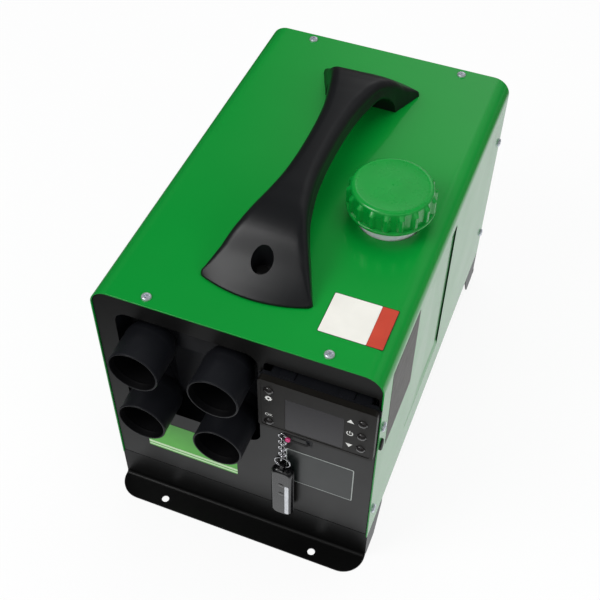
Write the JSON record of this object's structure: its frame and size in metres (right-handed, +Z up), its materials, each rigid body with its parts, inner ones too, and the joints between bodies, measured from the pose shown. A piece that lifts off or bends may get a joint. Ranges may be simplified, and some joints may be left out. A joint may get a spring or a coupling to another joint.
{
  "type": "diesel air heater",
  "caption": "Portable diesel air heater in a folded carry case with warm-air spouts, a filler cap, a grip, a small controller and a key fob.",
  "frame": {"origin": "centre of the four bolt holes in the two feet, on the floor plane", "axes": "+X to the right seen from the front, +Y to the back, +Z up; the outlets blow towards -Y"},
  "size_m": [0.255, 0.439, 0.3249],
  "materials": {
    "cover_green": "smooth green gloss enamel",
    "panel_black": "glossy black powder coat",
    "zinc": "bright zinc plate",
    "grip_black": "satin moulded plastic",
    "cap_green": "smooth moulded plastic",
    "tank_white": "milky blow-moulded plastic",
    "duct_black": "satin moulded plastic",
    "rubber_black": "soft and dull",
    "hose_black": "smooth hose",
    "cast_alloy": "die cast, fine grain",
    "burner_steel": "heat-tinted sheet",
    "case_grey": "moulded plastic",
    "gasket_grey": "pressed fibre sheet",
    "fan_black": "moulded plastic",
    "board_green": "lacquered board",
    "controller_brown": "satin black-brown plastic",
    "screen_grey": "plain unlit window",
    "fob_black": "polished plastic",
    "chain_chrome": "polished wire"
  },
  "bodies": {
    "case": {"shell": "cover_green", "front_panel": "panel_black", "rear_panel": "panel_black", "base_tray": "panel_black", "front_foot": "panel_black", "rear_foot": "panel_black", "service_hatch": "cover_green", "shell_screws": "zinc", "foot_bolts": "zinc", "side_grommet": "rubber_black", "cable_gland": "rubber_black", "handle": "grip_black", "handle_screws": "zinc", "fuel_tank": "tank_white", "tank_shelf": "zinc", "fuel_filter": "tank_white", "fuel_pump": "zinc", "pump_mount": "rubber_black", "fuel_line_tank": "hose_black", "fuel_line_pump": "hose_black", "fuel_line_heater": "hose_black", "heater_stand": "zinc", "heater_gasket": "gasket_grey", "heater_lower_case": "case_grey", "heater_upper_case": "case_grey", "heat_exchanger": "cast_alloy", "burner": "burner_steel", "glow_plug": "burner_steel", "blower_housing": "cast_alloy", "blower_motor": "zinc", "control_board": "board_green", "overheat_sensor": "burner_steel", "exhaust_pipe": "burner_steel", "intake_pipe": "cast_alloy", "air_plenum": "duct_black", "controller_holder": "duct_black", "controller_case": "controller_brown", "controller_screen": "screen_grey", "fob_loop": "rubber_black", "outlet_1": "duct_black", "outlet_2": "duct_black", "outlet_3": "duct_black", "outlet_4": "duct_black"},
    "cap_thread": {"cap_seal": "rubber_black"},
    "cap": {"filler_cap": "cap_green"},
    "rotor": {"motor_shaft": "burner_steel", "main_fan": "fan_black", "combustion_fan": "fan_black"},
    "fob": {"fob_chain": "chain_chrome", "fob_ring": "chain_chrome", "fob_body": "fob_black"},
    "fob_on_key": {"fob_button_on": "fob_black"},
    "fob_off_key": {"fob_button_off": "fob_black"},
    "up_key": {"button_up": "controller_brown"},
    "power_key": {"button_power": "controller_brown"},
    "down_key": {"button_down": "controller_brown"},
    "settings_key": {"button_settings": "controller_brown"},
    "confirm_key": {"button_confirm": "controller_brown"}
  },
  "joints": [
    {"name": "cap_lift", "type": "slide", "parent": "case", "child": "cap_thread", "axis": [0, 0, 1], "range_m": [0, 0.0121]},
    {"name": "cap_turn", "type": "hinge", "parent": "cap_thread", "child": "cap", "pos_m": [0.073, -0.0273, 0.3], "axis": [0, 0, 1], "range_deg": [0, 720]},
    {"name": "rotor_spin", "type": "hinge", "parent": "case", "child": "rotor", "pos_m": [-0.046, 0.1, 0.162], "axis": [0, 1, 0], "continuous": true},
    {"name": "fob_swing", "type": "hinge", "parent": "case", "child": "fob", "pos_m": [0.0445, -0.2002, 0.1715], "axis": [0, 1, 0], "range_deg": [-22, 22]},
    {"name": "press_up", "type": "slide", "parent": "case", "child": "up_key", "axis": [0, 1, 0], "range_m": [0, 0.001], "stiffness_N_per_m": 250, "springref_m": -0.0006},
    {"name": "press_power", "type": "slide", "parent": "case", "child": "power_key", "axis": [0, 1, 0], "range_m": [0, 0.001], "stiffness_N_per_m": 250, "springref_m": -0.0006},
    {"name": "press_down", "type": "slide", "parent": "case", "child": "down_key", "axis": [0, 1, 0], "range_m": [0, 0.001], "stiffness_N_per_m": 250, "springref_m": -0.0006},
    {"name": "press_settings", "type": "slide", "parent": "case", "child": "settings_key", "axis": [0, 1, 0], "range_m": [0, 0.001], "stiffness_N_per_m": 250, "springref_m": -0.0006},
    {"name": "press_confirm", "type": "slide", "parent": "case", "child": "confirm_key", "axis": [0, 1, 0], "range_m": [0, 0.001], "stiffness_N_per_m": 250, "springref_m": -0.0006},
    {"name": "press_fob_on", "type": "slide", "parent": "fob", "child": "fob_on_key", "axis": [0, 1, 0], "range_m": [0, 0.0006], "stiffness_N_per_m": 200, "springref_m": -0.0006},
    {"name": "press_fob_off", "type": "slide", "parent": "fob", "child": "fob_off_key", "axis": [0, 1, 0], "range_m": [0, 0.0006], "stiffness_N_per_m": 200, "springref_m": -0.0006}
  ],
  "couplings": [
    {"joint": "cap_lift", "follows": "cap_turn", "m_per_rad": 0.00095493}
  ]
}
